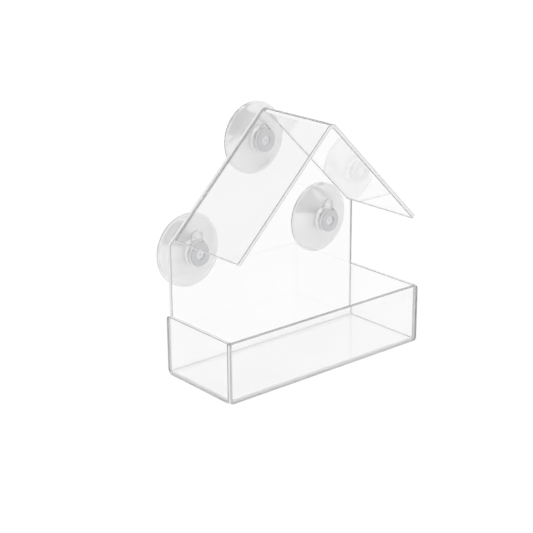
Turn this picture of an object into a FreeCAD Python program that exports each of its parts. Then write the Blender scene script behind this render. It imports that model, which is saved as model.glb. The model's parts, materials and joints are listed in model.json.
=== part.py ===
import FreeCAD, Part
import math
import os
import Sketcher

# Window bird feeder: a house of clear acrylic sheet that hangs on a window pane by three suction cups.
# Millimetres. +X is right as a person indoors or a bird in front sees it, +Y points at the window pane,
# +Z is up. The origin is the middle of the tray's footprint, on the underside of the floor.

DRIVING_SIZES = [
    # the sheets
    ("sheet", 2.5, "thickness of every acrylic sheet"),
    ("cement", 0.05, "film of solvent cement in a glued joint"),
    ("tray_width", 150.0, "across the outsides of the two side panels"),
    ("depth", 60.0, "rear of the back panel to the front of the front panel"),
    ("tray_height", 37.0, "tray walls, from the underside of the floor"),
    ("shoulder_height", 80.5, "straight part of the back panel's sides"),
    ("roof_pitch", 45.0, "slope of the roof, degrees from level"),
    ("roof_setback", 4.0, "back panel's shoulder to the end of the roof, along the slope"),
    ("roof_overhang", 1.0, "roof beyond the front of the tray"),
    ("floor_bend", 1.2, "inside radius of the bend between back and floor"),
    ("ridge_bend", 2.0, "inside radius of the bend at the ridge"),
    ("sheet_corner", 2.0, "rounding of the tray's and the back panel's free corners"),
    ("roof_corner", 1.0, "rounding of the roof's front corners"),
    # the keyholes in the back panel
    ("entry_hole", 12.5, "diameter of the round part, which a soft head squeezes through"),
    ("slot_width", 8.0, "width of the slot above the round part"),
    ("lower_inset", 20.75, "back panel's side to a lower cup's axis"),
    ("lower_drop", 9.8, "shoulder to a lower cup's axis at the bottom of its keyhole"),
    ("lower_travel", 9.5, "climb of a lower cup in its keyhole"),
    ("upper_drop", 22.45, "point of the gable, if it were sharp, to the upper cup's axis at the bottom"),
    ("upper_travel", 5.5, "climb of the upper cup in its keyhole"),
    # the suction cups
    ("running_gap", 0.3, "clearance of a cup in its keyhole and on the back panel"),
    ("head_diameter", 14.4, "button head in front of the back panel"),
    ("head_thickness", 1.5, "the head, front to back"),
    ("head_rounding", 0.6, "front edge of the head"),
    ("dimple_diameter", 6.0, "dimple in the middle of the head"),
    ("dimple_depth", 0.9, "the same, below the head's face"),
    ("gate_diameter", 1.4, "stub in the dimple where the plastic entered the mould"),
    ("gate_height", 0.4, "the same, above the dimple's floor"),
    ("boss_diameter", 15.6, "thick root of the cup behind the back panel"),
    ("boss_length", 2.8, "the same, along the cup's axis"),
    ("boss_rounding", 1.2, "hollow corner where the boss meets the bell"),
    ("cup_diameter", 45.0, "outside of the suction lip"),
    ("cup_standoff", 9.0, "rear of the back panel to the pane"),
    ("bell_crown", 70.0, "radius of the bell's domed outside, in section"),
    ("lip_thickness", 0.8, "edge of the lip"),
    ("lip_width", 2.0, "flat ring of the lip that meets the pane"),
    ("flange_width", 1.7, "thin flat ring of the lip outside the foot of the bell"),
    ("hollow_depth", 4.0, "depth of the hollow that grips the pane"),
]

doc = FreeCAD.newDocument("WindowBirdFeeder")
sheet_of_sizes = doc.addObject("Spreadsheet::Sheet", "Sizes")
for row, (alias, value, meaning) in enumerate(DRIVING_SIZES, start=1):
    sheet_of_sizes.set(f"A{row}", meaning)
    sheet_of_sizes.set(f"B{row}", str(value))
    sheet_of_sizes.setAlias(f"B{row}", alias)
doc.recompute()


class Size:
    """A length or an angle: its value now, and the formula on the sheet's cells that binds it."""

    def __init__(self, value, formula):
        self.value = float(value)
        self.formula = formula

    def _with(self, other, sign, value):
        return Size(value, f"({self.formula} {sign} {other.formula})")

    def __add__(self, other):
        other = as_size(other)
        return self._with(other, "+", self.value + other.value)

    def __sub__(self, other):
        other = as_size(other)
        return self._with(other, "-", self.value - other.value)

    def __mul__(self, other):
        other = as_size(other)
        return self._with(other, "*", self.value * other.value)

    def __truediv__(self, other):
        other = as_size(other)
        return self._with(other, "/", self.value / other.value)

    def __neg__(self):
        return Size(-self.value, f"(-1 * {self.formula})")


def as_size(number):
    if isinstance(number, Size):
        return number
    return Size(number, str(number))


def size(alias):
    return Size(sheet_of_sizes.get(alias), f"Sizes.{alias}")


def sine(angle):
    return Size(math.sin(math.radians(angle.value)), f"sin({angle.formula})")


def cosine(angle):
    return Size(math.cos(math.radians(angle.value)), f"cos({angle.formula})")


ZERO = as_size(0)
sheet = size("sheet")
cement = size("cement")
depth = size("depth")
tray_width = size("tray_width")
tray_height = size("tray_height")
pitch = size("roof_pitch")
running_gap = size("running_gap")

# Sizes that follow from the driving ones and are shared by several pieces.
back_half_width = tray_width / 2 - sheet - cement
apex_height = size("shoulder_height") + back_half_width * sine(pitch) / cosine(pitch)
floor_outer_bend = size("floor_bend") + sheet
ridge_outer_bend = size("ridge_bend") + sheet
back_front_face = depth / 2 - sheet
front_rear_face = depth / 2 - sheet
lower_across = back_half_width - size("lower_inset")
lower_height = size("shoulder_height") - size("lower_drop")
upper_height = apex_height - size("upper_drop")
neck_radius = size("slot_width") / 2 - running_gap
entry_rise = size("entry_hole") / 2 - neck_radius - running_gap

# Each cup: where its axis is across the feeder, its height at rest, and its climb in the keyhole.
CUPS = {
    "suction_cup_top": (ZERO, upper_height, size("upper_travel")),
    "suction_cup_left": (-lower_across, lower_height, size("lower_travel")),
    "suction_cup_right": (lower_across, lower_height, size("lower_travel")),
}


def bind(item, path, amount):
    item.setExpression(path, amount.formula)


def new_body(label):
    body = doc.addObject("PartDesign::Body", label)
    body.Label = label
    return body


def new_sketch(body, name, plane_role):
    plane = next(f for f in body.Origin.OriginFeatures if f.Role == plane_role)
    sketch = body.newObject("Sketcher::SketchObject", name)
    sketch.AttachmentSupport = [(plane, "")]
    sketch.MapMode = "FlatFace"
    return sketch


def fix_coordinate(sketch, kind, geometry, vertex, amount):
    """Hold one coordinate of a point; kind is DistanceX or DistanceY, measured from the origin."""
    origin = (-1, 1)
    across_axis = {"DistanceX": -2, "DistanceY": -1}[kind]
    if amount.value == 0:
        sketch.addConstraint(Sketcher.Constraint("PointOnObject", geometry, vertex, across_axis))
        return
    ends = (*origin, geometry, vertex)
    if amount.value < 0:
        amount = -amount
        ends = (geometry, vertex, *origin)
    index = sketch.addConstraint(Sketcher.Constraint(kind, *ends, amount.value))
    bind(sketch, f"Constraints[{index}]", amount)


def fix_radius(sketch, geometry, radius):
    index = sketch.addConstraint(Sketcher.Constraint("Radius", geometry, radius.value))
    bind(sketch, f"Constraints[{index}]", radius)


def arc_between(start, end, radius, turn):
    """The shorter arc from start to end; turn is +1 for anticlockwise and -1 for clockwise."""
    chord = end - start
    middle = (start + end) / 2
    across = FreeCAD.Vector(-chord.y, chord.x, 0).normalize()
    to_centre = math.sqrt(radius**2 - (chord.Length / 2) ** 2)
    centre = middle + across * to_centre * turn
    first, last = (start, end) if turn > 0 else (end, start)
    angles = [math.atan2(p.y - centre.y, p.x - centre.x) for p in (first, last)]
    circle = Part.Circle(centre, FreeCAD.Vector(0, 0, 1), radius)
    return Part.ArcOfCircle(circle, *angles)


def draw_outline(sketch, corners, arcs=None):
    """A closed outline through corners (pairs of sizes). arcs gives the sides that are round:
    {index of the side's first corner: (radius, turn)}."""
    arcs = arcs or {}
    points = [FreeCAD.Vector(x.value, y.value, 0) for x, y in corners]
    following = points[1:] + points[:1]
    sides = []
    for index, (start, end) in enumerate(zip(points, following)):
        if index in arcs:
            radius, turn = arcs[index]
            geometry = sketch.addGeometry(arc_between(start, end, radius.value, turn))
            # An arc's own start is its anticlockwise one.
            sides.append((geometry, 1, 2) if turn > 0 else (geometry, 2, 1))
        else:
            geometry = sketch.addGeometry(Part.LineSegment(start, end))
            sides.append((geometry, 1, 2))
    for (geometry, _, end), (next_geometry, next_start, _) in zip(sides, sides[1:] + sides[:1]):
        sketch.addConstraint(Sketcher.Constraint("Coincident", geometry, end, next_geometry, next_start))
    for (geometry, start, _), (x, y) in zip(sides, corners):
        fix_coordinate(sketch, "DistanceX", geometry, start, x)
        fix_coordinate(sketch, "DistanceY", geometry, start, y)
    for index, (radius, _) in arcs.items():
        fix_radius(sketch, sides[index][0], radius)


def pad(body, name, sketch, length, symmetric=False):
    feature = body.newObject("PartDesign::Pad", name)
    feature.Profile = sketch
    feature.SideType = "Symmetric" if symmetric else "One side"
    bind(feature, "Length", length)
    doc.recompute()
    return feature


def cut_through(body, name, sketch):
    """Cut the sketch through the whole body, both ways, and make sure that something was cut."""
    before = body.Shape.Volume
    feature = body.newObject("PartDesign::Pocket", name)
    feature.Profile = sketch
    feature.SideType = "Two sides"
    feature.Type = "ThroughAll"
    feature.Type2 = "ThroughAll"
    doc.recompute()
    if not body.Shape.Volume < before:
        raise ValueError(f"{name} cuts nothing from {body.Label}")


def straight_edges(shape, direction, *points):
    """Names of the straight edges that run along direction through one of the points."""
    near = 1e-4
    names = []
    for index, edge in enumerate(shape.Edges, start=1):
        if not isinstance(edge.Curve, Part.Line):
            continue
        along = edge.Curve.Direction
        if along.cross(direction).Length > near:
            continue
        start = edge.Vertexes[0].Point
        if any((point - start).cross(along).Length < near for point in points):
            names.append(f"Edge{index}")
    return names


def circular_edges(shape, radius, height):
    """Names of the circles of that radius round the local Z axis at that height."""
    near = 1e-4
    return [
        f"Edge{index}"
        for index, edge in enumerate(shape.Edges, start=1)
        if not edge.Degenerated
        and isinstance(edge.Curve, Part.Circle)
        and abs(edge.Curve.Radius - radius) < near
        and abs(edge.Curve.Center.z - height) < near
    ]


def round_edges(body, name, edge_names, radius):
    if not edge_names:
        raise ValueError(f"{name} finds no edge on {body.Label}")
    base = body.Tip
    feature = body.newObject("PartDesign::Fillet", name)
    feature.Base = (base, edge_names)
    bind(feature, "Radius", radius)
    doc.recompute()


ALONG_X = FreeCAD.Vector(1, 0, 0)
ALONG_Y = FreeCAD.Vector(0, 1, 0)


def make_back_and_floor():
    """One sheet, bent along the bottom rear edge: the house-shaped back panel with its three keyholes,
    and the tray's floor. Local Y is 0 at the rear face."""
    body = new_body("back_and_floor")
    floor_front = depth - sheet - cement
    top = apex_height
    profile = new_sketch(body, "back_and_floor_profile", "YZ_Plane")
    draw_outline(profile, [
        (-floor_front, ZERO),
        (ZERO, ZERO),
        (ZERO, top),
        (-sheet, top),
        (-sheet, sheet),
        (-floor_front, sheet),
    ])
    pad(body, "back_and_floor_sheet", profile, back_half_width * 2, symmetric=True)
    outer_corner = FreeCAD.Vector(0, 0, 0)
    inner_corner = FreeCAD.Vector(0, -sheet.value, sheet.value)
    round_edges(body, "floor_bend_outside",
                straight_edges(body.Shape, ALONG_X, outer_corner), floor_outer_bend)
    round_edges(body, "floor_bend_inside",
                straight_edges(body.Shape, ALONG_X, inner_corner), size("floor_bend"))

    # What lies above the two slopes of the gable comes off.
    overshoot = sheet
    side = back_half_width + overshoot
    low = size("shoulder_height") - overshoot * sine(pitch) / cosine(pitch)
    offcut = new_sketch(body, "gable_offcut", "XZ_Plane")
    draw_outline(offcut, [
        (-side, low),
        (ZERO, apex_height),
        (side, low),
        (side, top + overshoot),
        (-side, top + overshoot),
    ])
    cut_through(body, "gable_cut", offcut)
    apex = FreeCAD.Vector(0, 0, apex_height.value)
    round_edges(body, "apex_rounding", straight_edges(body.Shape, ALONG_Y, apex), ridge_outer_bend)
    shoulders = [
        FreeCAD.Vector(sign * back_half_width.value, 0, size("shoulder_height").value) for sign in (-1, 1)
    ]
    round_edges(body, "shoulder_rounding",
                straight_edges(body.Shape, ALONG_Y, *shoulders), size("sheet_corner"))

    # Keyholes: a round entry hole, and a slot with a round top that rises from its middle.
    holes = new_sketch(body, "entry_holes", "XZ_Plane")
    slots = new_sketch(body, "slots", "XZ_Plane")
    half_slot = size("slot_width") / 2
    for across, height, travel in CUPS.values():
        middle = height + entry_rise
        centre = FreeCAD.Vector(across.value, middle.value, 0)
        radius = size("entry_hole") / 2
        circle = holes.addGeometry(Part.Circle(centre, FreeCAD.Vector(0, 0, 1), radius.value))
        fix_coordinate(holes, "DistanceX", circle, 3, across)
        fix_coordinate(holes, "DistanceY", circle, 3, middle)
        fix_radius(holes, circle, radius)
        crown = height + travel
        draw_outline(slots, [
            (across - half_slot, middle),
            (across + half_slot, middle),
            (across + half_slot, crown),
            (across, crown + half_slot),
            (across - half_slot, crown),
        ], arcs={2: (half_slot, 1), 3: (half_slot, 1)})
    cut_through(body, "entry_hole_cut", holes)
    cut_through(body, "slot_cut", slots)
    bind(body, "Placement.Base.y", depth / 2)
    return body


def make_front_panel():
    """A strip across the whole front of the tray, over the front edges of the floor and the sides."""
    body = new_body("front_panel")
    face = new_sketch(body, "front_panel_face", "XZ_Plane")
    half = tray_width / 2
    draw_outline(face, [(-half, ZERO), (half, ZERO), (half, tray_height), (-half, tray_height)])
    pad(body, "front_panel_sheet", face, sheet)
    corners = [
        FreeCAD.Vector(sign * half.value, 0, height) for sign in (-1, 1) for height in (0, tray_height.value)
    ]
    round_edges(body, "front_panel_corners",
                straight_edges(body.Shape, ALONG_Y, *corners), size("sheet_corner"))
    bind(body, "Placement.Base.y", -front_rear_face)
    return body


def make_side_panel(label, outer_face_x):
    """An end of the tray, cemented to the edges of the back and the floor. Its rear corners are round:
    the lower one follows the bend of the back and floor sheet."""
    body = new_body(label)
    face = new_sketch(body, f"{label}_face", "YZ_Plane")
    front = -(front_rear_face - cement)
    rear = depth / 2
    draw_outline(face, [(front, ZERO), (rear, ZERO), (rear, tray_height), (front, tray_height)])
    pad(body, f"{label}_sheet", face, sheet)
    lower = FreeCAD.Vector(0, rear.value, 0)
    upper = FreeCAD.Vector(0, rear.value, tray_height.value)
    round_edges(body, f"{label}_bend", straight_edges(body.Shape, ALONG_X, lower), floor_outer_bend)
    round_edges(body, f"{label}_corner",
                straight_edges(body.Shape, ALONG_X, upper), size("sheet_corner"))
    bind(body, "Placement.Base.x", outer_face_x)
    return body


def make_roof():
    """One sheet bent along the ridge, its rear edge cemented to the front of the back panel and its
    outside flush with the gable. It reaches a little further forward than the tray."""
    body = new_body("roof")
    section = new_sketch(body, "roof_section", "XZ_Plane")
    run = back_half_width - size("roof_setback") * cosine(pitch)
    outer_end = size("shoulder_height") + size("roof_setback") * sine(pitch)
    inner_run = run - sheet * sine(pitch)
    inner_end = outer_end - sheet * cosine(pitch)
    inner_apex = apex_height - sheet / cosine(pitch)
    draw_outline(section, [
        (ZERO, apex_height),
        (-run, outer_end),
        (-inner_run, inner_end),
        (ZERO, inner_apex),
        (inner_run, inner_end),
        (run, outer_end),
    ])
    length = back_front_face - cement + depth / 2 + size("roof_overhang")
    pad(body, "roof_sheet", section, length)
    outside = FreeCAD.Vector(0, 0, apex_height.value)
    inside = FreeCAD.Vector(0, 0, inner_apex.value)
    round_edges(body, "ridge_outside", straight_edges(body.Shape, ALONG_Y, outside), ridge_outer_bend)
    round_edges(body, "ridge_inside",
                straight_edges(body.Shape, ALONG_Y, inside), size("ridge_bend"))
    corners = []
    for sign in (-1, 1):
        square_to_slope = FreeCAD.Vector(sign * sine(pitch).value, 0, cosine(pitch).value)
        corner = FreeCAD.Vector(sign * run.value, -length.value, outer_end.value)
        corners += straight_edges(body.Shape, square_to_slope, corner)
    round_edges(body, "roof_front_corners", corners, size("roof_corner"))
    bind(body, "Placement.Base.y", back_front_face - cement)
    return body


def make_suction_cup(label, across, height):
    """One soft moulding, turned about its axis: a button head with a dimple and a gate stub, a neck that
    runs in the keyhole, a thick boss behind the back panel, and a bell with a thin flat lip. Local Z
    runs along the axis towards the pane, from 0 at the front face of the back panel."""
    body = new_body(label)
    section = new_sketch(body, f"{label}_section", "XZ_Plane")
    head_back = -running_gap
    head_face = head_back - size("head_thickness")
    boss_front = sheet + running_gap
    boss_root = boss_front + size("boss_length")
    pane = sheet + size("cup_standoff")
    head = size("head_diameter") / 2
    dimple = size("dimple_diameter") / 2
    dimple_floor = head_face + size("dimple_depth")
    gate = size("gate_diameter") / 2
    gate_end = dimple_floor - size("gate_height")
    boss = size("boss_diameter") / 2
    lip = size("cup_diameter") / 2
    seat = lip - size("lip_width")
    hollow = size("hollow_depth")
    hollow_crown = (seat * seat + hollow * hollow) / (hollow * 2)
    corners = [
        (ZERO, gate_end),
        (gate, gate_end),
        (gate, dimple_floor),
        (dimple, dimple_floor),
        (dimple, head_face),
        (head, head_face),
        (head, head_back),
        (neck_radius, head_back),
        (neck_radius, boss_front),
        (boss, boss_front),
        (boss, boss_root),
        (lip - size("flange_width"), pane - size("lip_thickness")),
        (lip, pane - size("lip_thickness")),
        (lip, pane),
        (seat, pane),
        (ZERO, pane - hollow),
    ]
    bell_side = corners.index((boss, boss_root))
    hollow_side = corners.index((seat, pane))
    draw_outline(section, corners, arcs={
        bell_side: (size("bell_crown"), 1),
        hollow_side: (hollow_crown, -1),
    })
    turned = body.newObject("PartDesign::Revolution", f"{label}_moulding")
    turned.Profile = section
    turned.ReferenceAxis = (section, ["V_Axis"])
    turned.Angle = 360
    doc.recompute()
    round_edges(body, f"{label}_head_edge",
                circular_edges(body.Shape, head.value, head_face.value), size("head_rounding"))
    round_edges(body, f"{label}_boss_root",
                circular_edges(body.Shape, boss.value, boss_root.value), size("boss_rounding"))
    # Local Z turns to +Y, at the pane's side.
    body.Placement.Rotation = FreeCAD.Rotation(ALONG_X, -90)
    bind(body, "Placement.Base.x", across)
    bind(body, "Placement.Base.y", back_front_face)
    bind(body, "Placement.Base.z", height)
    return body


sub_parts = [
    make_back_and_floor(),
    make_front_panel(),
    make_side_panel("left_side_panel", -tray_width / 2),
    make_side_panel("right_side_panel", tray_width / 2 - sheet),
    make_roof(),
]
for label, (across, height, _) in CUPS.items():
    sub_parts.append(make_suction_cup(label, across, height))
doc.recompute()

for item in doc.Objects:
    if "Invalid" in item.State or "Error" in item.State:
        raise ValueError(f"{item.Name} failed: {item.State}")
for body in sub_parts:
    if body.Shape.isNull() or not body.Shape.isValid() or len(body.Shape.Solids) != 1:
        raise ValueError(f"{body.Label} is not one valid solid")

os.makedirs("parts", exist_ok=True)
for body in sub_parts:
    body.Shape.exportStep(f"parts/{body.Label}.step")
    box = body.Shape.BoundBox
    print(f"{body.Label}: {body.Shape.Volume:.1f} mm3, "
          f"x {box.XMin:.2f} to {box.XMax:.2f}, y {box.YMin:.2f} to {box.YMax:.2f}, "
          f"z {box.ZMin:.2f} to {box.ZMax:.2f}")
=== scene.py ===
import json
import math

import bmesh
import bpy
from mathutils import Matrix, Vector


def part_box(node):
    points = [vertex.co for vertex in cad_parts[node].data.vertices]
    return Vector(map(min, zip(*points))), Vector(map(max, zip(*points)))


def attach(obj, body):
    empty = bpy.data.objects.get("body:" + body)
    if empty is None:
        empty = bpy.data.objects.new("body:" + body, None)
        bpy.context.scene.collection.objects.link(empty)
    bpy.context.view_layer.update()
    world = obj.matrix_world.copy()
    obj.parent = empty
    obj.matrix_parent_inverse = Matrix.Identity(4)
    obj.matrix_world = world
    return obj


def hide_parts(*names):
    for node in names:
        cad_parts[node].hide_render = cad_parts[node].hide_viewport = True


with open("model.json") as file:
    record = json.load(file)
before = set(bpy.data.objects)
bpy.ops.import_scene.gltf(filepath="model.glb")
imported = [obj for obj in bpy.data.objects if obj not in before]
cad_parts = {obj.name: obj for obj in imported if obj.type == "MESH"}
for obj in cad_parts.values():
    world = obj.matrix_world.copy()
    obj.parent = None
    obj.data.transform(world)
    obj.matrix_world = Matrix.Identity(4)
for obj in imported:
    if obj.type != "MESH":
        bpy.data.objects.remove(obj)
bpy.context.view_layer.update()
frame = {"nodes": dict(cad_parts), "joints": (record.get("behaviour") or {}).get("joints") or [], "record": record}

# Back and floor: one sheet of clear extruded acrylic, laser cut to the outline of a house with three
# keyholes. It is then heated along a line and bent square, so that its lower part is the tray's floor.

MM = 0.001


def linear(hex_colour):
    """An sRGB hex colour as the linear colour that a shader takes."""
    channels = [int(hex_colour[i:i + 2], 16) / 255 for i in (1, 3, 5)]
    return [c / 12.92 if c <= 0.04045 else ((c + 0.055) / 1.055) ** 2.4 for c in channels] + [1.0]


def add_node(tree, kind, inputs=None, **settings):
    """A new node with its settings. inputs maps a socket's name or number to its value, or to an output."""
    node = tree.nodes.new(kind)
    for name, value in settings.items():
        setattr(node, name, value)
    for socket, source in (inputs or {}).items():
        if isinstance(source, bpy.types.NodeSocket):
            tree.links.new(source, node.inputs[socket])
        else:
            node.inputs[socket].default_value = source
    return node


def new_material(name):
    """A material with no nodes yet."""
    material = bpy.data.materials.new(name)
    material.use_nodes = True
    material.node_tree.nodes.clear()
    return material


# Extruded acrylic: glossy and almost colourless. The rollers leave slow waves in its faces, and these bend
# what is reflected a little.
ACRYLIC_IOR = 1.49
ROLLER_WAVE = 45 * MM
ROLLER_WAVE_HEIGHT = 0.002 * MM
acrylic = new_material("extruded_acrylic")
tree = acrylic.node_tree
place = add_node(tree, "ShaderNodeNewGeometry").outputs["Position"]
waves = add_node(tree, "ShaderNodeTexNoise", {"Vector": place, "Scale": 1 / ROLLER_WAVE, "Detail": 1.0})
sheet_tint = add_node(tree, "ShaderNodeMix", {
    "Factor": waves.outputs["Fac"], "A": linear("#F8F8F8"), "B": linear("#FDFDFD"),
}, data_type="RGBA")
wavy = add_node(tree, "ShaderNodeBump", {
    "Height": waves.outputs["Fac"], "Strength": 1.0, "Distance": ROLLER_WAVE_HEIGHT,
})
sheet_shader = add_node(tree, "ShaderNodeBsdfPrincipled", {
    "Base Color": sheet_tint.outputs["Result"],
    "Normal": wavy.outputs["Normal"],
    "Roughness": 0.0,
    "IOR": ACRYLIC_IOR,
    "Transmission Weight": 1.0,
})
add_node(tree, "ShaderNodeOutputMaterial", {"Surface": sheet_shader.outputs["BSDF"]})

# Laser-cut acrylic: the beam leaves a satin edge with fine ripples, which spreads the light and so looks
# pale. The real ripples are 0.2 mm apart, too fine to show, so they are drawn at 0.8 mm.
RIPPLE = 0.8 * MM
cut_acrylic = new_material("laser_cut_acrylic")
tree = cut_acrylic.node_tree
place = add_node(tree, "ShaderNodeNewGeometry").outputs["Position"]
ripples = add_node(tree, "ShaderNodeTexNoise", {"Vector": place, "Scale": 1 / RIPPLE, "Detail": 1.0})
cut_tint = add_node(tree, "ShaderNodeMix", {
    "Factor": ripples.outputs["Fac"], "A": linear("#E6E6E6"), "B": linear("#F2F2F2"),
}, data_type="RGBA")
cut_shader = add_node(tree, "ShaderNodeBsdfPrincipled", {
    "Base Color": cut_tint.outputs["Result"],
    "Roughness": 0.2,
    "IOR": ACRYLIC_IOR,
    "Transmission Weight": 0.2,
})
add_node(tree, "ShaderNodeOutputMaterial", {"Surface": cut_shader.outputs["BSDF"]})

# Melted acrylic: the heat of the cut rounds the corners beside it. A rounded clear corner sends the light aside,
# so it shows as a thin grey line, which is painted into its colour here: painted shade. Along the bottom of the
# tray the line is painted paler, as painted light from what the tray stands on, and it is left pale inside the
# tray's joints, where cement fills it.
BEAD = 4 * MM
BOTTOM_OF_TRAY = 1 * MM
HALF_CEMENT_FILM = 0.025 * MM
melted_corner_painted_shade = new_material("melted_corner_painted_shade")
tree = melted_corner_painted_shade.node_tree
place = add_node(tree, "ShaderNodeNewGeometry").outputs["Position"]
beads = add_node(tree, "ShaderNodeTexNoise", {"Vector": place, "Scale": 1 / BEAD, "Detail": 1.0})
# Painted shade: the grey of a rounded clear corner, varied at random.
bead_painted_shade_tint = add_node(tree, "ShaderNodeMix", {
    "Factor": beads.outputs["Fac"], "A": linear("#AEAEAE"), "B": linear("#BEBEBE"),
}, data_type="RGBA")
axes = add_node(tree, "ShaderNodeSeparateXYZ", {0: place}).outputs
across = add_node(tree, "ShaderNodeMath", {0: axes["X"]}, operation="ABSOLUTE").outputs[0]
# The inside of the tray, out to the middle of the cement in its joints: half its width, its front, its rim.
INSIDE_TRAY = (
    (across, "LESS_THAN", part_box("right_side_panel")[0].x - HALF_CEMENT_FILM),
    (axes["Y"], "GREATER_THAN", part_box("front_panel")[1].y + HALF_CEMENT_FILM),
    (axes["Z"], "LESS_THAN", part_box("front_panel")[1].z),
)
cemented = 1.0
for distance, side, limit in INSIDE_TRAY:
    within = add_node(tree, "ShaderNodeMath", {0: distance, 1: limit}, operation=side).outputs[0]
    cemented = add_node(tree, "ShaderNodeMath", {0: cemented, 1: within}, operation="MULTIPLY").outputs[0]
# Painted light: near the bottom of the tray the corners are drawn pale, as if lit by the floor under it.
painted_floor_light = add_node(tree, "ShaderNodeMath", {
    0: axes["Z"], 1: BOTTOM_OF_TRAY,
}, operation="LESS_THAN").outputs[0]
floor_lit_or_cemented = add_node(tree, "ShaderNodeMath", {0: painted_floor_light, 1: cemented}, operation="MAXIMUM").outputs[0]
# The painted grey of the corners, made pale by painted floor light at the bottom and by the cement in the joints.
melted_painted_light_and_shade_tint = add_node(tree, "ShaderNodeMix", {
    "Factor": floor_lit_or_cemented, "A": bead_painted_shade_tint.outputs["Result"], "B": linear("#FAFAFA"),
}, data_type="RGBA")
melted_shader = add_node(tree, "ShaderNodeBsdfPrincipled", {
    "Base Color": melted_painted_light_and_shade_tint.outputs["Result"],
    "Roughness": 0.2,
    "IOR": ACRYLIC_IOR,
    "Transmission Weight": 0.35,
})
add_node(tree, "ShaderNodeOutputMaterial", {"Surface": melted_shader.outputs["BSDF"]})

# Bent acrylic: the sheet was softened along the tray's bend. The rounded clear bend shows as an even pale grey
# line, which is painted into its colour here: painted shade.
BEND_SHADE_SPAN = 8 * MM
bent_acrylic = new_material("bent_acrylic")
tree = bent_acrylic.node_tree
place = add_node(tree, "ShaderNodeNewGeometry").outputs["Position"]
bend_shade_noise = add_node(tree, "ShaderNodeTexNoise", {"Vector": place, "Scale": 1 / BEND_SHADE_SPAN, "Detail": 1.0})
# Painted shade: the pale grey line of the rounded bend, varied at random.
bend_painted_shade_tint = add_node(tree, "ShaderNodeMix", {
    "Factor": bend_shade_noise.outputs["Fac"], "A": linear("#E2E2E2"), "B": linear("#EAEAEA"),
}, data_type="RGBA")
bent_shader = add_node(tree, "ShaderNodeBsdfPrincipled", {
    "Base Color": bend_painted_shade_tint.outputs["Result"],
    "Roughness": 0.2,
    "IOR": ACRYLIC_IOR,
    "Transmission Weight": 0.2,
})
add_node(tree, "ShaderNodeOutputMaterial", {"Surface": bent_shader.outputs["BSDF"]})

FINISHES = (acrylic, cut_acrylic, melted_corner_painted_shade, bent_acrylic)
CLEAR, CUT, MELTED, BENT = range(4)
MELTED_CORNER = 0.4 * MM
# The share of that rounding on the walls of the keyholes, which stay nearly sharp.
KEYHOLE_SHARE = 0.12
# A little more than the radius of a keyhole's round part.
KEYHOLE_REACH = 7 * MM
SAME_POINT = 0.001 * MM
SAME_PLANE = math.radians(1)
SHARP_CORNER = math.radians(40)
# A keyhole is the path of the cup in it: the cup's middle at the bottom, and how far it climbs.
keyholes = []
for slide in frame["joints"]:
    cup = frame["record"]["behaviour"]["bodies"][slide["child"]][0]
    lowest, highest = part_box(cup)
    keyholes.append(((lowest + highest) / 2, slide["range_m"][1]))


def in_keyhole(point):
    """Whether a point lies on the wall of a keyhole."""
    return any(
        abs(point.x - axis.x) < KEYHOLE_REACH
        and axis.z - KEYHOLE_REACH < point.z < axis.z + climb + KEYHOLE_REACH
        for axis, climb in keyholes
    )


def acrylic_sheet(node_name, finish):
    """A sheet with the shape of its solid, and with the corners of its cut edges melted round.
    finish tells from a face's normal and middle which finish it has."""
    form = bmesh.new()
    form.from_mesh(frame["nodes"][node_name].data)
    bmesh.ops.remove_doubles(form, verts=form.verts, dist=SAME_POINT)
    bmesh.ops.dissolve_limit(form, angle_limit=SAME_PLANE, verts=form.verts, edges=form.edges)
    for face in form.faces:
        face.smooth = True
        face.material_index = finish(face.normal, face.calc_center_median())
    melting = form.edges.layers.float.new("bevel_weight_edge")
    for edge in form.edges:
        if edge.calc_face_angle() > SHARP_CORNER:
            middle = (edge.verts[0].co + edge.verts[1].co) / 2
            edge[melting] = KEYHOLE_SHARE if in_keyhole(middle) else 1.0
    mesh = bpy.data.meshes.new(node_name + "_sheet")
    form.to_mesh(mesh)
    form.free()
    for material in FINISHES:
        mesh.materials.append(material)
    sheet = bpy.data.objects.new(node_name + "_sheet", mesh)
    bpy.context.scene.collection.objects.link(sheet)
    rounding = sheet.modifiers.new("melted_corners", "BEVEL")
    rounding.limit_method = "WEIGHT"
    rounding.width = MELTED_CORNER
    rounding.segments = 4
    # The rounded corners take the melted acrylic, whose grey is painted shade.
    rounding.material = MELTED
    flat_faces = sheet.modifiers.new("flat_faces", "WEIGHTED_NORMAL")
    flat_faces.weight = 100
    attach(sheet, "house")
    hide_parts(node_name)


# A face leans, mostly faces or squarely faces along an axis when more than this share of its unit normal
# points along it.
LEANING = 0.2
MOSTLY = 0.5
SQUARELY = 0.9
# The floor and its bend lie lower than this, and the keyholes higher.
TOP_OF_BEND = 10 * MM


def back_finish(normal, middle):
    """The sides, the gable, the keyholes' walls and the front of the floor are cut. The bend is painted pale grey
    as shade.
    """
    is_floor = middle.z <= TOP_OF_BEND
    faces_sideways = abs(normal.x) > LEANING
    faces_up_or_down = abs(normal.z) > LEANING and not is_floor
    is_floor_front = is_floor and normal.y < -SQUARELY
    if faces_sideways or faces_up_or_down or is_floor_front:
        return CUT
    return BENT if abs(normal.y) > MOSTLY and abs(normal.z) > MOSTLY else CLEAR


acrylic_sheet("back_and_floor", back_finish)

# Front panel: a strip of the same acrylic sheet, laser cut with rounded corners. It closes the front of the
# tray, cemented over the ends of the side panels and the front of the floor.


def front_finish(normal, middle):
    """The ends and the bottom are cut. The top, where the birds perch, is melted smooth and painted grey as shade,
    like the melted corners.
    """
    if normal.z > MOSTLY:
        # The top takes the painted shade of the melted corners.
        return MELTED
    return CUT if abs(normal.y) < MOSTLY else CLEAR


acrylic_sheet("front_panel", front_finish)

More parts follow.
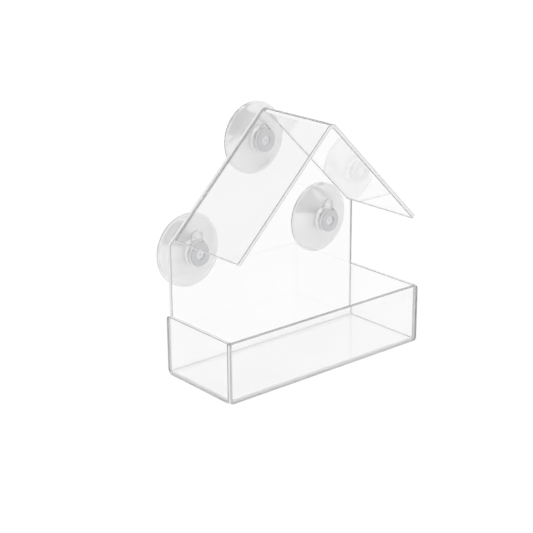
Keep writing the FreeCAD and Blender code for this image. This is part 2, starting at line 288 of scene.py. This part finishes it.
# Side panels: two small pieces of the same acrylic sheet, laser cut with rounded corners. They close the
# ends of the tray, cemented to the edges of the back and the floor.


def side_finish(normal, middle):
    """All four edges are cut."""
    return CUT if abs(normal.x) < MOSTLY else CLEAR


for panel in ("left_side_panel", "right_side_panel"):
    acrylic_sheet(panel, side_finish)

# Roof: one rectangle of the same acrylic sheet, laser cut, then heated along the ridge and bent. Its rear
# edge is cemented against the gable of the back panel.


def roof_finish(normal, middle):
    """The front and rear edges and the eaves, which face down the slopes, are cut. The ridge stays clear."""
    is_front_or_rear = abs(normal.y) > MOSTLY
    is_eave = normal.x * middle.x > 0 and normal.z < -MOSTLY
    return CUT if is_front_or_rear or is_eave else CLEAR


acrylic_sheet("roof", roof_finish)

# Suction cups: three mouldings of clear soft PVC. Each one's button head is pushed through the round part
# of its keyhole, and its neck then rides up into the slot.

# Soft PVC: a little hazy under a strong gloss, which the coat's high IOR gives. The thin bell is almost
# colourless, while the thick head looks grey, with painted light that makes its dimple paler and painted shade
# that darkens its rounded rims. There are slow swirls where the plastic flowed into the mould.
FLOW = 6 * MM
# From the head back to the bell: the distance behind the head's face in mm, the tint, and the share of light
# that is let through. The darkest tints are painted shade on the rounded rims, and the pale rows deeper in the
# head, which let little through, are painted light in the dimple.
HAZE_AND_PAINTED_LIGHT = (
    (0.00, "#B4B4B7", 0.1),
    (0.15, "#94949A", 0.1),
    (0.35, "#94949A", 0.1),
    (0.45, "#C2C2C4", 0.1),
    (0.65, "#C2C2C4", 0.1),
    (0.80, "#DADADC", 0.1),
    (0.95, "#DADADC", 0.1),
    (1.05, "#FFFFFF", 0.1),
    (1.50, "#FFFFFF", 0.1),
    (1.70, "#FFFFFF", 0.7),
    (4.50, "#FFFFFF", 0.7),
    (4.60, "#FFFFFF", 0.2),
    (6.70, "#FFFFFF", 0.2),
    (7.10, "#FCFCFC", 0.97),
)
pvc = new_material("soft_pvc")
tree = pvc.node_tree
place = add_node(tree, "ShaderNodeTexCoord").outputs["Object"]
along_axis = add_node(tree, "ShaderNodeSeparateXYZ", {0: place}).outputs["Y"]
lowest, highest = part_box("suction_cup_top")
head_face = lowest.y
pane = highest.y
depth = add_node(tree, "ShaderNodeMapRange", {"Value": along_axis, "From Min": head_face, "From Max": pane})
# This ramp gives the haze, the painted shade on the head's rims and the painted light in its dimple.
haze_and_painted_light = add_node(tree, "ShaderNodeValToRGB", {"Fac": depth.outputs["Result"]})
stops = haze_and_painted_light.color_ramp.elements
stops.remove(stops[-1])
for number, (distance, tint, clearness) in enumerate(HAZE_AND_PAINTED_LIGHT):
    position = distance * MM / (pane - head_face)
    stop = stops.new(position) if number else stops[0]
    stop.color = linear(tint)[:3] + [clearness]
flow = add_node(tree, "ShaderNodeTexNoise", {"Vector": place, "Scale": 1 / FLOW, "Detail": 2.0})
flow_tint = add_node(tree, "ShaderNodeMix", {
    "Factor": flow.outputs["Fac"], "A": linear("#F9F9FA"), "B": linear("#FFFFFF"),
}, data_type="RGBA")
pvc_tint = add_node(tree, "ShaderNodeMix", {
    "Factor": 1.0, "A": haze_and_painted_light.outputs["Color"], "B": flow_tint.outputs["Result"],
}, data_type="RGBA", blend_type="MULTIPLY")
pvc_roughness = add_node(tree, "ShaderNodeMapRange", {
    "Value": flow.outputs["Fac"], "To Min": 0.36, "To Max": 0.44,
})
pvc_shader = add_node(tree, "ShaderNodeBsdfPrincipled", {
    "Base Color": pvc_tint.outputs["Result"],
    "Roughness": pvc_roughness.outputs["Result"],
    "IOR": 1.53,
    "Coat Weight": 1.0,
    "Coat Roughness": 0.06,
    "Coat IOR": 3.0,
    "Transmission Weight": haze_and_painted_light.outputs["Alpha"],
})
# The plastic takes up a little light on the way through, so it looks greyer where it is thick.
SMOKE_PER_METRE = 48.0
smoke = add_node(tree, "ShaderNodeVolumeAbsorption", {
    "Color": linear("#000000"), "Density": SMOKE_PER_METRE,
})
add_node(tree, "ShaderNodeOutputMaterial", {
    "Surface": pvc_shader.outputs["BSDF"], "Volume": smoke.outputs["Volume"],
})
for cup in ("suction_cup_top", "suction_cup_left", "suction_cup_right"):
    node = frame["nodes"][cup]
    node.data.materials.clear()
    node.data.materials.append(pvc)

# Studio: a floor of white paper that runs out of the picture on every side, under soft light from above and
# behind, with a dim doorway on the camera's side.

PAPER_SIZE = 12.0
# The paper lies just under the tray, so that the two don't share a plane.
PAPER_DROP = 0.2 * MM
# The share of plain white that the camera, gloss and clear sheets see in the paper. The rest takes shadow.
GLOW_SHARE = 0.88
bpy.ops.mesh.primitive_plane_add(size=PAPER_SIZE, location=(0, 0, -PAPER_DROP))
floor = bpy.context.object
floor.name = "studio_floor"
paper = new_material("white_paper")
tree = paper.node_tree
paper_shader = add_node(tree, "ShaderNodeBsdfDiffuse", {"Color": linear("#FAFAFA")})
glow = add_node(tree, "ShaderNodeEmission", {"Color": linear("#FFFFFF"), "Strength": 1.0})
rays = add_node(tree, "ShaderNodeLightPath").outputs
seen = rays["Is Camera Ray"]
for ray in ("Is Transmission Ray", "Is Glossy Ray"):
    seen = add_node(tree, "ShaderNodeMath", {0: seen, 1: rays[ray]}, operation="MAXIMUM").outputs[0]
share = add_node(tree, "ShaderNodeMath", {0: seen, 1: GLOW_SHARE}, operation="MULTIPLY").outputs[0]
lit_paper = add_node(tree, "ShaderNodeMixShader", {
    0: share, 1: paper_shader.outputs["BSDF"], 2: glow.outputs["Emission"],
})
add_node(tree, "ShaderNodeOutputMaterial", {"Surface": lit_paper.outputs["Shader"]})
floor.data.materials.append(paper)

world = bpy.data.worlds.new("studio_room")
bpy.context.scene.world = world
world.use_nodes = True
world.node_tree.nodes.clear()
tree = world.node_tree
direction = add_node(tree, "ShaderNodeTexCoord").outputs["Generated"]
# The dim doorway in front of the feeder ends at its right, its left and its top. Each row gives the way out
# of it there, and how far that way the last of the dark and the first of the full light lie.
DOORWAY = (
    ((0.883, 0.469, 0.0), -0.03, 0.03),
    ((-0.970, 0.242, 0.0), -0.1, 0.1),
    ((0.0, 0.0, 1.0), 0.5, 0.7),
)
DOORWAY_LIGHT = 0.3
light = DOORWAY_LIGHT
for outward, dark_limit, light_limit in DOORWAY:
    reach = add_node(tree, "ShaderNodeVectorMath", {0: direction, 1: outward}, operation="DOT_PRODUCT")
    past = add_node(tree, "ShaderNodeMapRange", {
        "Value": reach.outputs["Value"], "From Min": dark_limit, "From Max": light_limit,
    }, interpolation_type="SMOOTHSTEP")
    light = add_node(tree, "ShaderNodeMath", {
        0: light, 1: past.outputs["Result"],
    }, operation="MAXIMUM").outputs[0]
# The doorway shows in gloss and in clear sheets alone: it takes no light from a satin surface.
spread = add_node(tree, "ShaderNodeLightPath").outputs["Diffuse Depth"]
light = add_node(tree, "ShaderNodeMath", {
    0: light, 1: spread,
}, operation="MAXIMUM", use_clamp=True).outputs[0]
# Each patch of the ceiling: the way to its middle, the degrees from there at which it starts and is full,
# and its light.
CEILING = (
    ((-0.33, 0.72, 0.61), 30, 10, 0.8),
    ((0.0, 0.0, 1.0), 45, 25, 1.6),
)
for middle, outer, inner, level in CEILING:
    toward = add_node(tree, "ShaderNodeVectorMath", {
        0: direction, 1: Vector(middle).normalized(),
    }, operation="DOT_PRODUCT")
    patch = add_node(tree, "ShaderNodeMapRange", {
        "Value": toward.outputs["Value"],
        "From Min": math.cos(math.radians(outer)),
        "From Max": math.cos(math.radians(inner)),
        "To Min": 1.0,
        "To Max": level,
    }, interpolation_type="SMOOTHSTEP")
    light = add_node(tree, "ShaderNodeMath", {
        0: light, 1: patch.outputs["Result"],
    }, operation="MULTIPLY").outputs[0]
# The backdrop itself is white from every side.
backdrop = add_node(tree, "ShaderNodeLightPath").outputs["Is Camera Ray"]
light = add_node(tree, "ShaderNodeMath", {0: light, 1: backdrop}, operation="MAXIMUM").outputs[0]
room = add_node(tree, "ShaderNodeBackground", {"Color": linear("#FFFFFF"), "Strength": light})
add_node(tree, "ShaderNodeOutputWorld", {"Surface": room.outputs["Background"]})

# Camera: a long lens, a little above the feeder and to its left. Its place and its angles were fitted to the
# feeder's corners in the photograph.

CAMERA_AZIMUTH = math.radians(-40.006)
CAMERA_ELEVATION = math.radians(19.057)
CAMERA_ROLL = math.radians(-0.371)
CAMERA_PLACE = Vector((-513.52, -584.43, 327.20)) * MM
camera = bpy.data.objects.new("camera", bpy.data.cameras.new("camera"))
bpy.context.scene.collection.objects.link(camera)
camera.data.sensor_width = 36.0
camera.data.lens = 92.53
view = Vector((
    -math.sin(CAMERA_AZIMUTH) * math.cos(CAMERA_ELEVATION),
    math.cos(CAMERA_AZIMUTH) * math.cos(CAMERA_ELEVATION),
    -math.sin(CAMERA_ELEVATION),
))
level_right = view.cross(Vector((0, 0, 1))).normalized()
level_up = level_right.cross(view)
right = level_right * math.cos(CAMERA_ROLL) + level_up * math.sin(CAMERA_ROLL)
up = right.cross(view)
camera.matrix_world = Matrix((
    (right.x, up.x, -view.x, CAMERA_PLACE.x),
    (right.y, up.y, -view.y, CAMERA_PLACE.y),
    (right.z, up.z, -view.z, CAMERA_PLACE.z),
    (0, 0, 0, 1),
))
bpy.context.scene.camera = camera
bpy.context.scene.view_settings.view_transform = "Standard"
# Light bounces to and fro many times inside a clear sheet before it comes out of an edge.
SHEET_BOUNCES = 96
cycles = bpy.context.scene.cycles
cycles.max_bounces = SHEET_BOUNCES
cycles.glossy_bounces = SHEET_BOUNCES
cycles.transmission_bounces = SHEET_BOUNCES
# The sheets stay sharp for light on its way from a satin edge.
cycles.blur_glossy = 0.0
